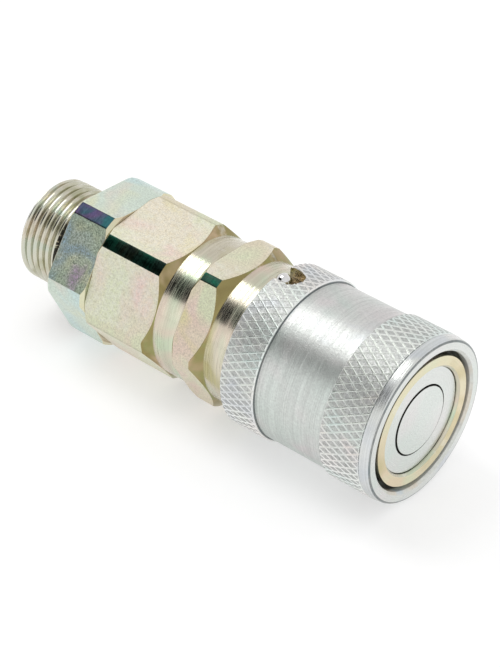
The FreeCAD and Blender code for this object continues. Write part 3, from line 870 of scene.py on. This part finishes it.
@dataclass
class PortEnd:
    """The threaded stud with its hexagon, and the seals round it."""

    finishes: Finishes
    thread_r: float = 13.5
    thread_chamfer: float = 1.2
    root_r: float = 12.35
    pitch: float = 25.4 / 12
    thread_start: float = 0.9
    bore_r: float = 9.0
    thread_runout: float = 0.2
    tip_chamfer: float = 0.35
    tooth_half: float = 1.0
    tooth_root: float = 0.4
    flank: tuple[Point, ...] = ((1.0, 0.0), (0.76, 0.55), (0.55, 0.86), (0.26, 1.0))
    bore_chamfer: float = 0.5
    undercut: tuple[float, float] = (-4.2, 11.75)
    undercut_fillet: float = 0.35
    seat_chamfer: float = 0.4
    hex_chamfer: float = 0.85
    hexagon: Hexagon = field(
        default_factory=lambda: Hexagon(rear=0.0, front=12.1, corner_r=20.462, turn=28.8))
    spigot_r: float = 14.9
    groove: tuple[float, float, float] = (14.7, 17.3, 12.9)
    cavity_r: float = 11.0
    ring_section_r: float = 1.45
    edge: float = 0.15

    def build(self) -> list[bpy.types.Object]:
        """Model and dress the port end's pieces."""
        return [self.adapter(), self.port_ring(), self.spigot_ring()]

    def adapter(self) -> bpy.types.Object:
        """The stud, hexagon and spigot, with a real helical thread."""
        tip, front, hexagon = low_x("port_adapter"), high_x("port_adapter"), self.hexagon
        rear, undercut_r = self.undercut
        groove_rear, groove_front, groove_r = self.groove
        run = self.thread_r - self.root_r
        outline = [(tip, self.bore_r + self.bore_chamfer), (tip, self.root_r - self.tip_chamfer),
                   (tip + self.tip_chamfer, self.root_r), (rear - self.thread_runout, self.root_r),
                   (rear, undercut_r), (-self.undercut_fillet, undercut_r),
                   (0, undercut_r + self.undercut_fillet), (0, hexagon.corner_r - self.seat_chamfer),
                   (self.seat_chamfer, hexagon.corner_r),
                   (hexagon.front - self.hex_chamfer, hexagon.corner_r),
                   (hexagon.front, hexagon.corner_r - self.hex_chamfer), (hexagon.front, self.spigot_r),
                   (groove_rear, self.spigot_r), (groove_rear, groove_r), (groove_front, groove_r),
                   (groove_front, self.spigot_r), (front, self.spigot_r), (front, self.cavity_r),
                   (hexagon.front, self.cavity_r),
                   (hexagon.front - self.cavity_r + self.bore_r, self.bore_r),
                   (tip + self.bore_chamfer, self.bore_r)]
        body = turned("port_adapter_body", eased(outline, self.edge))
        thread = self.thread_ridge(tip - self.pitch + self.thread_start, rear + self.pitch)
        below, end = self.root_r - 1, rear - self.thread_runout / 2
        envelope = turned("thread_envelope", [
            (tip, below), (tip, self.thread_r - self.thread_chamfer),
            (tip + self.thread_chamfer, self.thread_r), (rear - 0.75 * run, self.thread_r),
            (end, self.root_r - self.thread_runout), (end, below)])
        carve(thread, envelope, "INTERSECT")
        carve(body, thread, "UNION")
        hexagon.mill(body)
        paint(body, self.finishes.stud_stock(),
              lambda face: (Skin.END if face.center.x < rear * MM else hexagon.skin(face)).value)
        return settle(body, Body.COUPLER, "port_adapter")

    def thread_ridge(self, start: float, end: float) -> bpy.types.Object:
        """The thread's ridge: one tooth, swept along a right-hand helix."""
        half, crest = self.tooth_half, self.thread_r - self.root_r
        side = [(half, -self.tooth_root), *((out * half, up * crest) for out, up in self.flank)]
        tooth = side + [(-x, height) for x, height in reversed(side)]
        ridge = chain("thread_ridge", [(start + x, self.root_r + height) for x, height in tooth + tooth[:1]])
        return wound(ridge, (end - start) / self.pitch, end - start, THREAD_STEPS)

    def port_ring(self) -> bpy.types.Object:
        """The rubber ring in the undercut, with its mould line."""
        outer = high_z("port_o_ring")
        middle = (-self.ring_section_r, outer - self.ring_section_r)
        ring = turned("port_ring", round_section(middle, self.ring_section_r, 0.03))
        paint(ring, [self.finishes.rubber])
        return settle(ring, Body.COUPLER, "port_o_ring")

    def spigot_ring(self) -> bpy.types.Object:
        """The rubber ring that seals the spigot in the housing."""
        rear, front, outer = low_x("adapter_o_ring"), high_x("adapter_o_ring"), high_z("adapter_o_ring")
        section_r = (front - rear) / 2
        ring = turned("spigot_ring", round_section(((rear + front) / 2, outer - section_r), section_r, 0.02))
        paint(ring, [self.finishes.rubber])
        return settle(ring, Body.COUPLER, "adapter_o_ring")


@dataclass
class Housing:
    """The long hexagon and its turned neck."""

    finishes: Finishes
    hexagon: Hexagon = field(
        default_factory=lambda: Hexagon(rear=12.1, front=33.6, corner_r=20.462, turn=40.4))
    chamfer: float = 0.85
    neck_r: float = 18.4
    rear_bore_r: float = 14.95
    front_bore_r: float = 16.45
    bore_step: float = 21.9
    edge: float = 0.12

    def build(self) -> list[bpy.types.Object]:
        """Model and dress the housing."""
        hexagon, front = self.hexagon, high_x("valve_housing")
        outline = [(hexagon.rear, self.rear_bore_r), (hexagon.rear, hexagon.corner_r - self.chamfer),
                   (hexagon.rear + self.chamfer, hexagon.corner_r),
                   (hexagon.front - hexagon.corner_r + self.neck_r, hexagon.corner_r),
                   (hexagon.front, self.neck_r), (front, self.neck_r), (front, self.front_bore_r),
                   (self.bore_step, self.front_bore_r), (self.bore_step, self.rear_bore_r)]
        body = turned("valve_housing_body", eased(outline, self.edge))
        hexagon.mill(body)
        paint(body, self.finishes.bar_stock(), lambda face: hexagon.skin(face).value)
        return [settle(body, Body.COUPLER, "valve_housing")]


@dataclass
class Socket:
    """The socket body with its small hexagon, collar and ball-carrying barrel, and the balls."""

    finishes: Finishes
    hexagon: Hexagon = field(
        default_factory=lambda: Hexagon(rear=40.7, front=49.6, corner_r=20.762, turn=31.5))
    chamfer: float = 1.3
    collar_r: float = 18.3
    collar_front: float = 66.0
    barrel_r: float = 16.5
    spigot_r: float = 16.4
    spigot_groove: tuple[float, float, float] = (35.8, 38.8, 14.95)
    stop_groove: tuple[float, float, float] = (93.1, 94.35, 15.6)
    seal_groove: tuple[float, float, float] = (83.9, 86.9, 14.98)
    probe_bore_r: float = 13.56
    probe_chamfer: float = 0.55
    flange_bore: tuple[float, float, float] = (51.4, 70.1, 14.96)
    spigot_bore_r: float = 13.7
    ball_count: int = 12
    ball_x: float = 90.0
    ball_circle_r: float = 15.56
    ball_r: float = 2.0
    ball_gap: float = 0.06
    hole_depth: float = 6.0
    lock_ball: tuple[float, float, float] = (57.6, 18.2, 2.1)
    lock_seat_gap: float = 0.03
    edge: float = 0.14
    end_depth: float = 0.2

    def build(self) -> list[bpy.types.Object]:
        """Model and dress the socket body and its balls."""
        return [self.body(), self.balls(), self.ball_in_collar()]

    def body(self) -> bpy.types.Object:
        """The socket body, with its ball holes drilled."""
        hexagon, rear, front = self.hexagon, low_x("socket_body"), high_x("socket_body")
        g_rear, g_front, g_r = self.spigot_groove
        s_rear, s_front, s_r = self.stop_groove
        p_rear, p_front, p_r = self.seal_groove
        f_rear, f_front, f_r = self.flange_bore
        outline = [(rear, self.spigot_bore_r), (rear, self.spigot_r), (g_rear, self.spigot_r), (g_rear, g_r),
                   (g_front, g_r), (g_front, self.spigot_r), (hexagon.rear, self.spigot_r),
                   (hexagon.rear, hexagon.corner_r - self.chamfer),
                   (hexagon.rear + self.chamfer, hexagon.corner_r),
                   (hexagon.front - hexagon.corner_r + self.collar_r, hexagon.corner_r),
                   (hexagon.front, self.collar_r), (self.collar_front, self.collar_r),
                   (self.collar_front, self.barrel_r), (s_rear, self.barrel_r), (s_rear, s_r),
                   (s_front, s_r), (s_front, self.barrel_r), (front, self.barrel_r),
                   (front, self.probe_bore_r + self.probe_chamfer),
                   (front - self.probe_chamfer, self.probe_bore_r), (p_front, self.probe_bore_r),
                   (p_front, p_r), (p_rear, p_r), (p_rear, self.probe_bore_r), (f_front, self.probe_bore_r),
                   (f_front, f_r), (f_rear, f_r), (f_rear, self.spigot_bore_r)]
        body = turned("socket_body_piece", eased(outline, self.edge))
        holes = [radial_pin((self.ball_x, self.probe_bore_r - 1), self.ball_r + self.ball_gap,
                            self.hole_depth, 360 / self.ball_count * place)
                 for place in range(self.ball_count)]
        x, centre_r, radius = self.lock_ball
        holes.append(radial_pin((x, centre_r - radius), radius + self.lock_seat_gap, self.hole_depth, 0))
        carve(body, joined("ball_holes", holes))
        hexagon.mill(body)
        paint(body, self.finishes.bar_stock(),
              lambda face: (Skin.END if face.center.x > (front - self.end_depth) * MM
                            else hexagon.skin(face)).value)
        return settle(body, Body.COUPLER, "socket_body")

    def balls(self) -> bpy.types.Object:
        """The ring of locking balls."""
        first = ball("locking_ball_set", Vector((self.ball_x, 0, self.ball_circle_r)) * MM, self.ball_r)
        copies = [first]
        for place in range(1, self.ball_count):
            copy = first.copy()
            copy.data = first.data.copy()
            bpy.context.scene.collection.objects.link(copy)
            with editing(copy):
                bpy.ops.transform.rotate(value=2 * math.pi * place / self.ball_count, orient_axis="X",
                                         center_override=(0, 0, 0))
            copies.append(copy)
        group = joined("locking_ball_set", copies)
        paint(group, [self.finishes.chrome])
        return settle(group, Body.COUPLER, "locking_balls")

    def ball_in_collar(self) -> bpy.types.Object:
        """The lock ball, proud of the collar in the mouth of the notch."""
        x, centre_r, radius = self.lock_ball
        lock = ball("collar_ball", Vector((x, 0, centre_r)) * MM, radius, 15)
        paint(lock, [self.finishes.chrome])
        return settle(lock, Body.COUPLER, "lock_ball")


@dataclass
class Sleeve:
    """The locking sleeve with its two knurled bands."""

    finishes: Finishes
    knurl_r: float = 21.0
    grip_r: float = 20.25
    nose_r: float = 20.2
    nose_rear: float = 98.2
    nose_length: float = 2.8
    nose_round: tuple[Point, ...] = ((0.6, 0.5), (0.25, 0.35), (0.06, 0.12), (0.0, -0.15))
    grip_rear: tuple[Point, ...] = ((0.1, 0.06), (0.3, 0.0))
    grip_front: tuple[Point, ...] = ((0.25, 0.0), (0.08, 0.06))
    rear_taper: float = 0.25
    mouth: float = 2.2
    rear_band: tuple[float, float, int] = (57.0, 67.0, 5)
    front_band: tuple[float, float, int] = (86.8, 98.2, 6)
    diamonds: int = 64
    groove_depth: float = 0.34
    groove_width: float = 0.24
    relief_r: float = 17.75
    rim: float = 0.6
    ramp: tuple[float, float] = (88.087, 89.277)
    land_r: float = 16.56
    land_rear: float = 79.487
    pocket_r: float = 17.95
    stop_x: float = 68.9
    step_length: float = 0.24
    rear_bore_r: float = 18.36
    notch: tuple[float, float] = (60.0, 3.2)

    def build(self) -> list[bpy.types.Object]:
        """Model and dress the sleeve."""
        rear, front = low_x("locking_sleeve"), high_x("locking_sleeve")
        valley = self.knurl_r - self.groove_depth
        band_end, band_start = self.rear_band[1], self.front_band[0]
        outline = [(rear, self.rear_bore_r), (rear, valley - self.rear_taper), (self.rear_band[0], valley),
                   *self.rows(self.rear_band, valley)[1:], (band_end + 0.02, valley - 0.05),
                   *((band_end + ahead, self.grip_r + out) for ahead, out in self.grip_rear),
                   *((band_start - behind, self.grip_r + out) for behind, out in self.grip_front),
                   *self.rows(self.front_band, valley), (self.nose_rear + 0.1, valley),
                   (self.nose_rear + 0.16, self.knurl_r - 0.04),
                   *((front - back, self.nose_r + out) for back, out in self.nose_round),
                   (front, self.relief_r + self.rim), (front - self.rim, self.relief_r),
                   (front - self.mouth, self.relief_r), (self.ramp[1], self.relief_r),
                   (self.ramp[0], self.land_r), (self.land_rear, self.land_r),
                   (self.land_rear, self.pocket_r), (self.stop_x, self.pocket_r),
                   (self.stop_x, self.rear_bore_r)]
        body = turned("locking_sleeve_grip", outline, 2 * self.diamonds)
        for band in (self.rear_band, self.front_band):
            self.knurl(body, band)
        self.cut_notch(body, rear)
        paint(body, self.finishes.sleeve_stock(), lambda face: self.skin(face).value)
        return [settle(body, Body.SLEEVE, "locking_sleeve")]

    @staticmethod
    def rows(band: tuple[float, float, int], radius: float) -> list[Point]:
        """The rings of a knurled band, half a diamond apart."""
        rear, front, count = band
        return [(rear + (front - rear) * row / count, radius) for row in range(count + 1)]

    def knurl(self, body: bpy.types.Object, band: tuple[float, float, int]) -> None:
        """Turn a band's grid of faces into raised diamonds.

        Args:
            body: the turned sleeve.
            band: rear and front of the band, and its number of half diamonds.
        """
        rear, front, count = band
        valley, pace = (self.knurl_r - self.groove_depth), (front - rear) / count

        def place(vert: bmesh.types.BMVert) -> tuple[int, int] | None:
            """Row and column of a vertex of the band, or None."""
            row = (vert.co.x / MM - rear) / pace
            if abs(row - round(row)) > CLOSE or not -CLOSE < row < count + CLOSE:
                return None
            if abs(math.hypot(vert.co.y, vert.co.z) / MM - valley) > CLOSE:
                return None
            return round(row), round(math.atan2(-vert.co.y, vert.co.z) / math.pi * self.diamonds)

        def inner(vert: bmesh.types.BMVert) -> bool:
            """Whether a vertex is a diamond's middle, off the band's edges."""
            where = place(vert)
            return where is not None and 0 < where[0] < count and sum(where) % 2 == 0

        def corner(vert: bmesh.types.BMVert) -> bool:
            """Whether a vertex is where two grooves cross."""
            where = place(vert)
            return where is not None and sum(where) % 2 == 1

        with editing(body):
            pick(body, "verts", corner)
            bpy.ops.mesh.vert_connect()
            pick(body, "verts", inner)
            bpy.ops.mesh.dissolve_verts()
            pick(body, "edges", lambda edge: self.end_spoke(edge, place, count))
            bpy.ops.mesh.dissolve_edges(use_verts=False)
            pick(body, "faces", lambda face: all(place(vert) is not None for vert in face.verts))
            bpy.ops.mesh.inset(thickness=self.groove_width * MM, depth=self.groove_depth * MM,
                               use_individual=True, use_even_offset=True)

    @staticmethod
    def end_spoke(edge: bmesh.types.BMEdge, place: Callable[..., tuple[int, int] | None],
                  count: int) -> bool:
        """Whether an edge halves one of the half diamonds at a band's end."""
        first, second = (place(vert) for vert in edge.verts)
        if first is None or second is None or first[0] == second[0]:
            return False
        return first[1] == second[1] and {first[0], second[0]} in ({0, 1}, {count - 1, count})

    def cut_notch(self, body: bpy.types.Object, rear: float) -> None:
        """Cut the round-ended notch for the lock ball through the sleeve's rear edge."""
        centre, half = self.notch
        pin = radial_pin(centre=(centre, 10), radius=half, reach=15, angle=0, sides=64)
        with editing(pin):
            pick(pin, "verts", lambda vert: vert.co.x < (centre - 0.001) * MM)
            bpy.ops.transform.resize(value=(0, 1, 1), center_override=(centre * MM, 0, 0))
            bpy.ops.transform.translate(value=((rear - 2 - centre) * MM, 0, 0))
        carve(body, pin)

    def skin(self, face: bpy.types.MeshPolygon) -> Grip:
        """The kind of surface that a face of the sleeve belongs to."""
        x, radius = face.center.x / MM, math.hypot(face.center.y, face.center.z) / MM
        in_notch = x < sum(self.notch) + CLOSE and abs(face.center.y) < (self.notch[1] + CLOSE) * MM
        # Painted shade and painted reflection: the silver notch walls take the dark gold of the collar they
        # face.
        if in_notch and face.center.z > 0 and abs(face.normal.z) < 0.05 and abs(face.normal.x) < 0.99:
            return Grip.NOTCH
        banded = any(band[0] - 0.3 < x < band[1] + 0.02 for band in (self.rear_band, self.front_band))
        if banded and radius > self.grip_r:
            # Groove faces take the painted-highlight copy of the silver.
            return Grip.KNURLED if radius > self.knurl_r - 0.1 else Grip.GROOVE
        if radius < self.relief_r + self.rim and x > self.nose_rear:
            return Grip.MOUTH
        # Painted shade on the small steps.
        steps = (self.rear_band[1], self.nose_rear, self.nose_rear + self.nose_length - 0.25)
        if radius > self.grip_r - 0.2 and any(start < x < start + self.step_length for start in steps):
            return Grip.STEP
        if x < self.nose_rear or radius < self.relief_r:
            return Grip.BRUSHED
        return Grip.FACE if abs(face.normal.x) > 0.6 else Grip.NOSE


@dataclass
class FlatFaceValve:
    """The ring and the disc of the coupling face, and the spring behind the ring."""

    finishes: Finishes
    ring_r: float = 13.5
    edge: float = 0.2
    bore_r: float = 8.8
    seam: float = 0.3
    lip: float = 4.3
    tube_r: float = 11.4
    flange_front: float = 70.0
    disc_edge: float = 0.32
    spring: tuple[float, float, float] = (12.4, 1.0, 7.5)
    spring_keep: float = 0.606
    disc_r: float = 8.75
    shaft_r: float = 4.5
    stud_r: float = 4.0
    stud_front: float = 26.9
    head: tuple[float, float] = (92.5, 6.5)
    seal_groove: tuple[float, float, float] = (96.0, 97.8, 7.3)

    def build(self) -> list[bpy.types.Object]:
        """Model and dress the valve's pieces."""
        return [self.sleeve(), self.stem(), self.coil()]

    def sleeve(self) -> bpy.types.Object:
        """The silver ring of the coupling face, a flanged tube."""
        rear, face, flange_r = low_x("valve_sleeve"), high_x("valve_sleeve"), high_z("valve_sleeve")
        lip_rear = face - self.lip
        outline = [(rear, self.tube_r), (rear, flange_r), (self.flange_front, flange_r),
                   (self.flange_front, self.ring_r), (face, self.ring_r), (face, self.bore_r + self.seam),
                   (face - self.seam, self.bore_r), (lip_rear, self.bore_r),
                   (lip_rear - self.tube_r + self.bore_r, self.tube_r)]
        ring = turned("valve_sleeve_ring", eased(outline, self.edge))
        # Painted shade on the walls down in the seams.
        paint(ring, [self.finishes.silver_face, self.finishes.seam], in_seam_shade)
        return settle(ring, Body.VALVE, "valve_sleeve")

    def stem(self) -> bpy.types.Object:
        """The fixed stem whose head is the centre disc."""
        rear, face = low_x("valve_stem"), high_x("valve_stem")
        head_rear, taper = self.head
        g_rear, g_front, g_r = self.seal_groove
        outline = [(rear, 0), (rear, self.stud_r), (self.stud_front, self.stud_r),
                   (self.stud_front, self.shaft_r), (head_rear - taper, self.shaft_r),
                   (head_rear, self.disc_r),
                   (g_rear, self.disc_r), (g_rear, g_r), (g_front, g_r), (g_front, self.disc_r),
                   (face, self.disc_r), (face, 0)]
        stem = turned("valve_stem_disc", eased(outline, self.disc_edge))
        # Painted shade on the walls down in the seams.
        paint(stem, [self.finishes.silver_face, self.finishes.seam], in_seam_shade)
        return settle(stem, Body.COUPLER, "valve_stem")

    def coil(self) -> bpy.types.Object:
        """The valve spring, built at one length; the real one shortens as the ring is pushed in."""
        rear, front = low_x("valve_spring"), high_x("valve_spring")
        wire = coil("valve_coil", rear, front, *self.spring)
        paint(wire, [self.finishes.spring])
        settle(wire, Body.COUPLER, "valve_spring")
        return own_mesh(wire)


@dataclass
class SleeveSpring:
    """The spring that returns the locking sleeve."""

    finishes: Finishes
    wire: tuple[float, float, float] = (17.22, 0.6, 4.5)
    keep: float = 0.756

    def build(self) -> list[bpy.types.Object]:
        """Model and dress the spring at one length; the real one shortens as the sleeve is pulled back."""
        rear, front = low_x("sleeve_spring"), high_x("sleeve_spring")
        wire = coil("sleeve_coil", rear, front, *self.wire)
        paint(wire, [self.finishes.spring])
        settle(wire, Body.COUPLER, "sleeve_spring")
        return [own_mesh(wire)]


@dataclass
class Insides:
    """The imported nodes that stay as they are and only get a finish."""

    finishes: Finishes

    def build(self) -> list[bpy.types.Object]:
        """Dress the nodes that carry over."""
        f = self.finishes
        dressed = {"stem_spider": f.steel, "stem_nut": f.steel, "stem_lock_washer": f.steel,
                   "spring_seat": f.steel, "thrust_washer": f.steel, "sleeve_stop_ring": f.spring,
                   "stem_seal": f.rubber, "housing_o_ring": f.rubber, "probe_o_ring": f.rubber,
                   "housing_backup_ring": f.ptfe, "probe_backup_ring": f.ptfe}
        for node, material in dressed.items():
            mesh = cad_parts[node].data
            mesh.materials.clear()
            mesh.materials.append(material)
            log.info("%s: packed node, dressed as %s", node, material.name)
        return [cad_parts[node] for node in dressed]


# ---- Studio -----------------------------------------------------------------------------------

@dataclass(frozen=True)
class Pane:
    """A round patch of the surroundings: where it is, its half width and soft edge in degrees, its light."""

    azimuth: float
    elevation: float
    reach: float
    soft: float
    light: float


@dataclass
class Studio:
    """A white table, a soft overhead box, pale surroundings with darker gaps, and the camera."""

    panes: tuple[Pane, ...] = (Pane(-42, 39, 13, 5, 0.05), Pane(-57, 34, 12, 6, 0.05),
                               Pane(-29, 42, 12, 5, 0.05), Pane(-33, 7, 9, 9, 1.4))
    azimuth: float = 38.92
    elevation: float = 34.79
    roll: float = 3.30
    distance: float = 0.50306
    aim: tuple[float, float, float] = (0.06134, -0.01606, 0.01330)
    lens: float = 118.74

    def build(self) -> None:
        """Set up floor, light and camera."""
        self.floor()
        self.surroundings()
        self.soft_box(azimuth=-85, elevation=60, distance=0.9, size=0.42, power=1.8)
        self.camera()

    @staticmethod
    def towards(azimuth: float, elevation: float) -> Vector:
        """The direction at an azimuth from -Y towards +X and an elevation."""
        turn, rise = math.radians(azimuth), math.radians(elevation)
        return Vector((math.sin(turn) * math.cos(rise), -math.cos(turn) * math.cos(rise), math.sin(rise)))

    @staticmethod
    def floor() -> None:
        """A plain pale table that the coupler lies on."""
        bpy.ops.object.select_all(action="DESELECT")
        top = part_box("locking_sleeve")[0].z - 0.02 * MM
        bpy.ops.mesh.primitive_plane_add(size=8.0, location=(0, 0, top))
        table = bpy.context.object
        table.name = "table"
        material = bpy.data.materials.new("white_table")
        material.use_nodes = True
        shader = material.node_tree.nodes["Principled BSDF"]
        shader.inputs["Base Color"].default_value = (0.62, 0.62, 0.62, 1)
        shader.inputs["Roughness"].default_value = 0.9
        shader.inputs["Specular IOR Level"].default_value = 0.0
        shader.inputs["Emission Color"].default_value = (1, 1, 1, 1)
        shader.inputs["Emission Strength"].default_value = 0.45
        table.data.materials.append(material)

    def surroundings(self) -> None:
        """Pale surroundings with dark gaps beside the overhead box and a bright pane below them."""
        world = bpy.data.worlds.new("studio")
        bpy.context.scene.world = world
        world.use_nodes = True
        w = Wiring(world.node_tree)
        way = w.add("TexCoord").outputs["Generated"]
        light = w.span(w.noise(way, 1.5, 1.0), 0.3, 0.7, 0.86, 1.0)
        for pane in self.panes:
            near = w.add("VectorMath", {0: way, 1: self.towards(pane.azimuth, pane.elevation)},
                         operation="DOT_PRODUCT").outputs["Value"]
            rim, inside = (math.cos(math.radians(angle)) for angle in (pane.reach + pane.soft, pane.reach))
            light = w.math("MULTIPLY", light, w.span(near, rim, inside, 1.0, pane.light))
        background = world.node_tree.nodes["Background"]
        background.inputs["Color"].default_value = (1, 1, 1, 1)
        w.feed(background.inputs["Strength"], light)

    def soft_box(self, azimuth: float, elevation: float, distance: float, size: float,
                 power: float) -> None:
        """A square soft light that faces the coupler.

        Args:
            azimuth: its direction from the coupler, in degrees from -Y towards +X.
            elevation: its height, in degrees.
            distance: from the aim, in metres.
            size: its side, in metres.
            power: its power, in watts.
        """
        way = self.towards(azimuth, elevation)
        lamp = bpy.data.lights.new("soft_box", "AREA")
        lamp.size, lamp.energy = size, power
        box = bpy.data.objects.new("soft_box", lamp)
        box.location = Vector(self.aim) + way * distance
        box.rotation_euler = way.to_track_quat("Z", "Y").to_euler()
        bpy.context.scene.collection.objects.link(box)

    def camera(self) -> None:
        """The camera, above and in front of the coupling face."""
        back = self.towards(self.azimuth, self.elevation)
        lens = bpy.data.cameras.new("view")
        lens.lens, lens.sensor_width, lens.clip_start = self.lens, 36.0, 0.01
        camera = bpy.data.objects.new("view", lens)
        camera.location = Vector(self.aim) + back * self.distance
        camera.rotation_mode = "QUATERNION"
        tilt = Quaternion((0, 0, 1), math.radians(self.roll))
        camera.rotation_quaternion = (-back).to_track_quat("-Z", "Y") @ tilt
        bpy.context.scene.collection.objects.link(camera)
        bpy.context.scene.camera = camera
        bpy.context.scene.view_settings.view_transform = "Standard"


def main() -> None:
    """Build every sub-assembly in order and report its pieces."""
    logging.basicConfig(level=logging.INFO, format="%(message)s")
    finishes = Finishes()
    for part in (PortEnd, Housing, Socket, Sleeve, FlatFaceValve, SleeveSpring, Insides):
        made = part(finishes).build()
        log.info("%s: %s", part.__name__, ", ".join(piece.name for piece in made))
    Studio().build()


if __name__ == "__main__":
    main()
